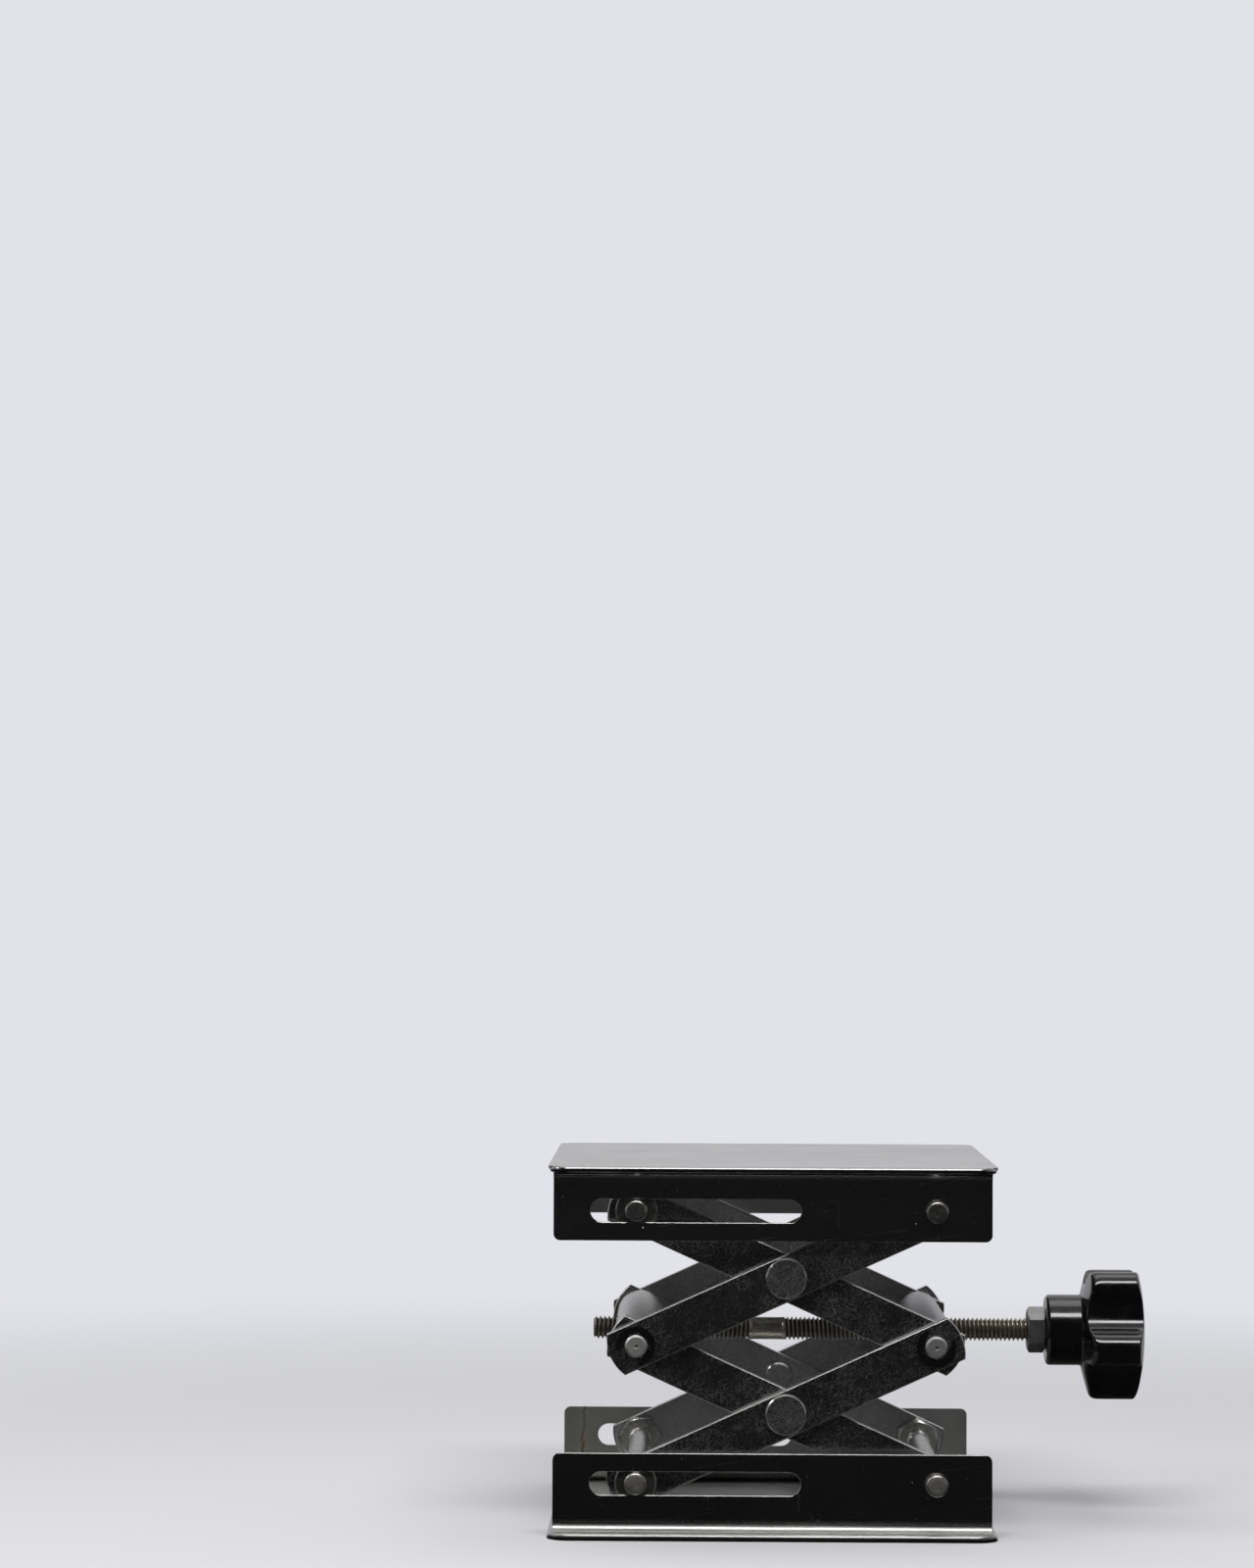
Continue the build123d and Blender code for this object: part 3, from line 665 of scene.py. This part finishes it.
# the valley's arc touches both neighbouring lobes
HALF_SECTOR = pi / LOBES
VALLEY_ARC = ((LOBE_CENTRE ** 2 + VALLEY ** 2 - 2 * LOBE_CENTRE * VALLEY * cos(HALF_SECTOR)
               - LOBE_RADIUS ** 2)
              / (2 * LOBE_RADIUS - 2 * VALLEY + 2 * LOBE_CENTRE * cos(HALF_SECTOR)))
VALLEY_CENTRE = VALLEY + VALLEY_ARC
across = VALLEY_CENTRE * cos(HALF_SECTOR) - LOBE_CENTRE
rise = VALLEY_CENTRE * sin(HALF_SECTOR)
gap = sqrt(across ** 2 + rise ** 2)
TOUCH_ANGLE = atan2(rise / gap * LOBE_RADIUS, LOBE_CENTRE + across / gap * LOBE_RADIUS)

# the front dome: distance from the front, radius
DOME = [
    (-DOME_DEPTH, RIM_RADIUS), (-4.2, 25.7), (-3.8, 25.0), (-3.4, 24.2), (-2.9, 23.0),
    (-2.4, 21.5), (-1.9, 19.6), (-1.45, 17.5), (-1.05, 15.2), (-0.72, 12.9), (-0.44, 10.4),
    (-0.23, 7.9), (-0.09, 5.2), (-0.02, 2.6), (0.0, 0.0),
]
# lobe tips rolling over into the rim: distance from the head's back edge, radius
TIP_ROLL = [(0.35, 22.7), (0.85, 23.7), (1.5, 24.6), (2.3, 25.4), (3.2, 26.0)]


def star_radius(angle):
    """Radius of the star outline at an angle."""
    q = abs((angle + LOBE_TURN + HALF_SECTOR) % (2 * HALF_SECTOR) - HALF_SECTOR)
    if q < TOUCH_ANGLE:
        return LOBE_CENTRE * cos(q) + sqrt(max(0.0, LOBE_RADIUS ** 2 - (LOBE_CENTRE * sin(q)) ** 2))
    q = HALF_SECTOR - q
    return VALLEY_CENTRE * cos(q) - sqrt(max(0.0, VALLEY_ARC ** 2 - (VALLEY_CENTRE * sin(q)) ** 2))


def smooth_min(a, b, width):
    h = max(0.0, 1 - abs(a - b) / width)
    return min(a, b) - h * h * width * 0.25


def catmull_rom(a, b, c, d, u):
    return 0.5 * (2 * b + (c - a) * u + (2 * a - 5 * b + 4 * c - d) * u * u
                  + (3 * b - a - 3 * c + d) * u ** 3)


def knob_envelope(x0, x1, head):
    """Rows of (x, radius) that bound the star, from the bore's bottom out and round to the front."""
    rows = [(x0 + BORE_DEPTH, BORE_RADIUS), (x0 + 0.02, BORE_RADIUS), (x0, 6.8),
            (x0, NECK_RADIUS - NECK_EDGE)]
    for j in range(1, 7):
        q = pi / 2 * j / 6
        rows.append((x0 + NECK_EDGE - NECK_EDGE * cos(q), NECK_RADIUS - NECK_EDGE + NECK_EDGE * sin(q)))
    rows += [(x, NECK_RADIUS) for x in (x0 + 4, x0 + 8, head - INNER_CORNER)]
    for j in range(1, 6):
        q = radians(80) * j / 5
        rows.append((head - INNER_CORNER + INNER_CORNER * sin(q),
                     NECK_RADIUS + INNER_CORNER - INNER_CORNER * cos(q)))
    # the head's sloping back
    back_x, back_radius = rows[-1]
    edge_x, edge_radius = head + 2.3, 21.6
    for j in range(1, 15):
        u = j / 14
        rows.append((back_x + (edge_x - back_x) * u, back_radius + (edge_radius - back_radius) * u))
    rows += [(edge_x + dx, radius) for dx, radius in TIP_ROLL]
    rim_x = edge_x + TIP_ROLL[-1][0]
    rows += [(rim_x + (x1 - DOME_DEPTH - rim_x) * j / 8, RIM_RADIUS) for j in range(1, 9)]
    # the dome is resampled finely so that it meets the lobes in a clean line
    points = [DOME[0]] + DOME + [DOME[-1]]
    for i in range(len(points) - 3):
        for j in range(1, 6):
            x, radius = (catmull_rom(*abcd, j / 5) for abcd in zip(*points[i:i + 4]))
            rows.append((x1 + min(x, 0.0), max(radius, 0.0)))
    return rows


def star_knob():
    """Lobed section blended into its neck, every edge rounded."""
    lo, hi = box_mm("star_knob")
    head = lo.x + NECK_LENGTH
    segments = 300

    def section(x, radius):
        if radius < 1e-6:
            return 0.0
        if radius < NECK_RADIUS + 0.01 and x < head + 1:
            return radius
        width = 2.6 if x < head + 8 else 1.5
        return lambda angle: smooth_min(radius, star_radius(angle), width)

    profile = [(x, section(x, radius)) for x, radius in knob_envelope(lo.x, hi.x, head)]
    verts, faces = revolve(profile, segments, on_screw)
    # close the bore's bottom
    centre = len(verts)
    verts.append(on_screw(profile[0][0], 0, 0))
    faces += [(centre, (i + 1) % segments, i) for i in range(segments)]
    knob = mesh_object("star_knob_moulded", verts, faces, KNOB, "screw", sharp_degrees=60)
    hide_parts("star_knob")


lead_screw()
for index, (rod, body) in enumerate(RODS.items()):
    cross_rod(index, rod, body)
star_knob()

# =============================================================== finish of the CAD nodes
LOOK = {"base_plate": PLATE, "top_plate": PLATE, "lock_nut": SHADED_LOCK_NUT, "knob_insert": BRASS}
ENDINGS = {"_arm": ARM, "_rivet": RIVET, "_nuts": NUT, "_clips": CLIP}
# the bars are lit and shaded copies of one steel: the left bar's lighter, warmer tone is painted light
# from above, the right bar's darker tone painted shade
BAR_LIGHT_AND_SHADE_TONE = {"left": (0.72, 0.72, 0.71), "right": (0.56, 0.56, 0.57)}
for side, tone in BAR_LIGHT_AND_SHADE_TONE.items():
    lo, hi = box_mm(f"{side}_cross_bar")
    LOOK[f"{side}_cross_bar"] = turned_steel(
        f"bar_steel_light_and_shade_{side}", light=tone, dark=tuple(c * 0.88 for c in tone), base_rough=0.40,
        centre=((lo.x + hi.x) / 2, (lo.z + hi.z) / 2))

for name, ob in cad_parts.items():
    by_ending = next((mat for ending, mat in ENDINGS.items() if name.endswith(ending)), RING)
    mat = LOOK.get(name, by_ending)
    if not ob.material_slots:
        ob.data.materials.append(mat)
    for slot in ob.material_slots:
        slot.material = mat
    if name.endswith("_clips"):
        bevel = ob.modifiers.new("edge", "BEVEL")
        bevel.width = 0.14 * MM
        bevel.segments = 2
        bevel.limit_method = "ANGLE"
        bevel.angle_limit = radians(40)

# =============================================================== stage, light and camera
BACKDROP = (0.760, 0.767, 0.806)
FLOOR_HALF, FLOOR_Z = 12.0, -0.0002  # metres


def floor_pale():
    """Pale paper near the object, fading into the backdrop's colour far out."""
    t = new_tree("floor_pale")
    x, y, z = t.separate(t.mm())
    far = t.radius(x, y).ramp(start=260, end=900)
    paper = t.noise(scale=0.4, detail=3.0, rough=0.6)
    paper_colour = paper.tint((0.74, 0.745, 0.775), (0.77, 0.775, 0.805))
    seen = t.mix_shader(far, t.shader("BsdfDiffuse", Color=paper_colour),
                        t.shader("Emission", Color=BACKDROP))
    # in reflections the floor in front of the object is unlit, as the dark side of a studio is
    front_dark, rear_grey = (0.007, 0.007, 0.007), (0.38, 0.38, 0.385)
    mirrored = t.shader("Emission", Color=y.ramp(start=-60, end=500).tint(front_dark, rear_grey))
    glossy = t.source("ShaderNodeLightPath", "Is Glossy Ray")
    return t.output(t.mix_shader(glossy, seen, mirrored))


def studio_world():
    """Bright behind, paler above and at the sides, dark towards the camera."""
    world = bpy.data.worlds.new("studio")
    scene.world = world
    t = Tree(world)
    x, y, z = t.separate(t.source("ShaderNodeTexCoord", "Generated"))
    back = y.ramp(start=-0.12, end=0.30)
    top = z.ramp(start=0.62, end=0.95)
    side = abs(x).ramp(start=0.55, end=0.95) * 0.55
    darkest = 0.0035
    level = t.maximum(back * 0.62, top * 0.55, side * 0.62, darkest)
    warm, cool = (1.0, 0.99, 0.97), (0.985, 0.99, 1.03)
    lighting = t.shader("Background", Color=back.tint(warm, cool), Strength=level)
    seen = t.shader("Background", Color=BACKDROP, Strength=1.0)
    camera_ray = t.source("ShaderNodeLightPath", "Is Camera Ray")
    t.output(t.mix_shader(camera_ray, lighting, seen), "World")


def softbox(name, at, aim, size, power, colour=(1, 1, 1)):
    light = bpy.data.lights.new(name, "AREA")
    light.shape = "RECTANGLE"
    light.size, light.size_y = size
    light.energy = power
    light.color = colour
    ob = bpy.data.objects.new(name, light)
    ob.location = at
    ob.rotation_euler = (Vector(aim) - Vector(at)).to_track_quat("-Z", "Y").to_euler()
    scene.collection.objects.link(ob)


def softboxes():
    """A main strip in front and above, a small box from the upper left, and an overhead."""
    aim_z, reach = 0.07, 1.2
    front, left = radians(54), radians(38)  # elevations
    softbox("strip_front", at=(0.02, -reach * cos(front), aim_z + reach * sin(front)),
            aim=(0.02, 0, aim_z), size=(0.85, 0.26), power=7.5, colour=(1.0, 0.99, 0.97))
    softbox("strip_left", at=(-reach * cos(left), -0.25, aim_z + reach * sin(left)),
            aim=(0.0, 0, aim_z), size=(0.25, 0.25), power=1.6)
    softbox("overhead", at=(0.0, 0.25, 1.30), aim=(0.0, 0, aim_z), size=(1.0, 0.6), power=2.5)


def camera():
    cam = bpy.data.cameras.new("camera")
    ob = bpy.data.objects.new("camera", cam)
    scene.collection.objects.link(ob)
    pitch, roll, yaw = 0.0304794, -0.00405802, 0.0154761  # from a level look along +y
    turn = Matrix.Rotation(yaw, 3, "Z") @ Matrix.Rotation(pitch, 3, "X") @ Matrix.Rotation(roll, 3, "Y")
    right, ahead, up = turn.col
    place = Matrix((right, up, -ahead)).transposed().to_4x4()
    place.translation = Vector((-0.027046, -1.502418, 0.207096))
    ob.matrix_world = place
    cam.sensor_width = 36.0
    cam.lens = 98.53875
    cam.clip_start, cam.clip_end = 0.01, 100
    scene.camera = ob


floor_mesh = bpy.data.meshes.new("floor")
corners = ((-1, -1), (1, -1), (1, 1), (-1, 1))
floor_mesh.from_pydata([(x * FLOOR_HALF, y * FLOOR_HALF, FLOOR_Z) for x, y in corners],
                       [], [(0, 1, 2, 3)])
floor = bpy.data.objects.new("floor", floor_mesh)
scene.collection.objects.link(floor)
floor_mesh.materials.append(floor_pale())
studio_world()
softboxes()
camera()

scene.view_settings.view_transform = "Standard"
scene.view_settings.look = "None"
